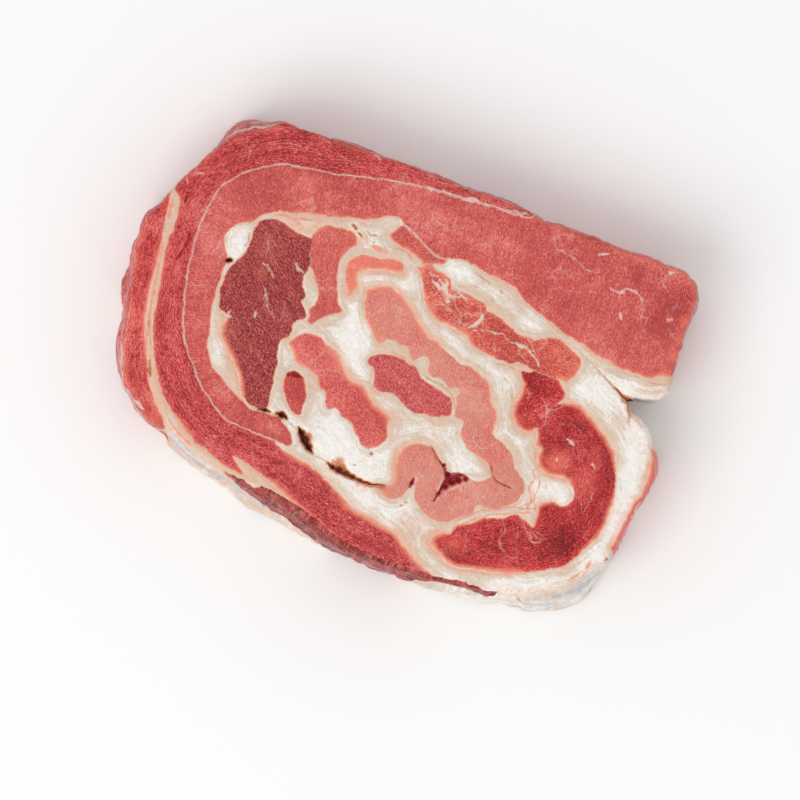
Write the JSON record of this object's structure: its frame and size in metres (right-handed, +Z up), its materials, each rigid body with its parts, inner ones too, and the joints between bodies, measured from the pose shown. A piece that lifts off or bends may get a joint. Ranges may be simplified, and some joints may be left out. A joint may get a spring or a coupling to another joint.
{
  "type": "beef brisket",
  "caption": "Raw rolled beef brisket portion lying on its cut face: lean muscles wrapped round one another with fat seams between them and a thick free flap at one end.",
  "frame": {"origin": "middle of the foot, on the flat lower cut face", "axes": "+X along the straight upper edge towards the thick free flap, +Y towards that straight edge, +Z up out of the upper cut face"},
  "size_m": [0.2412, 0.1664, 0.042],
  "materials": {
    "lean_side": "moist dark lean",
    "lean_edge": "moist lean",
    "lean_inner": "moist pale lean",
    "lean_outer": "moist dark red lean with long fibres",
    "lean_dark": "moist maroon lean",
    "lean_panel": "moist lean",
    "lean_marbled": "moist marbled lean",
    "lean_arc": "moist light lean",
    "lean_peach": "moist pale peach lean",
    "lean_island": "moist crimson lean",
    "lean_long": "moist lean",
    "lean_lobe": "moist red lean",
    "lean_curve": "moist dark red lean",
    "fat_roll": "soft white to cream fat",
    "fat_seam": "soft white fat and grey membrane"
  },
  "bodies": {
    "root": {"side_lean": "lean_side", "left_edge_lean": "lean_edge", "inner_wrap_lean": "lean_inner", "outer_wrap_lean": "lean_outer", "dark_muscle": "lean_dark", "red_panel_lean": "lean_panel", "marbled_lean": "lean_marbled", "upper_sliver_lean": "lean_panel", "arc_lean": "lean_arc", "pale_fold_lean": "lean_peach", "island_lean": "lean_island", "long_lean": "lean_long", "small_lean": "lean_long", "round_lobe_lean": "lean_lobe", "right_curve_lean": "lean_curve", "right_edge_lean": "lean_edge", "roll_fat": "fat_roll", "seam_fat": "fat_seam"}
  },
  "joints": []
}
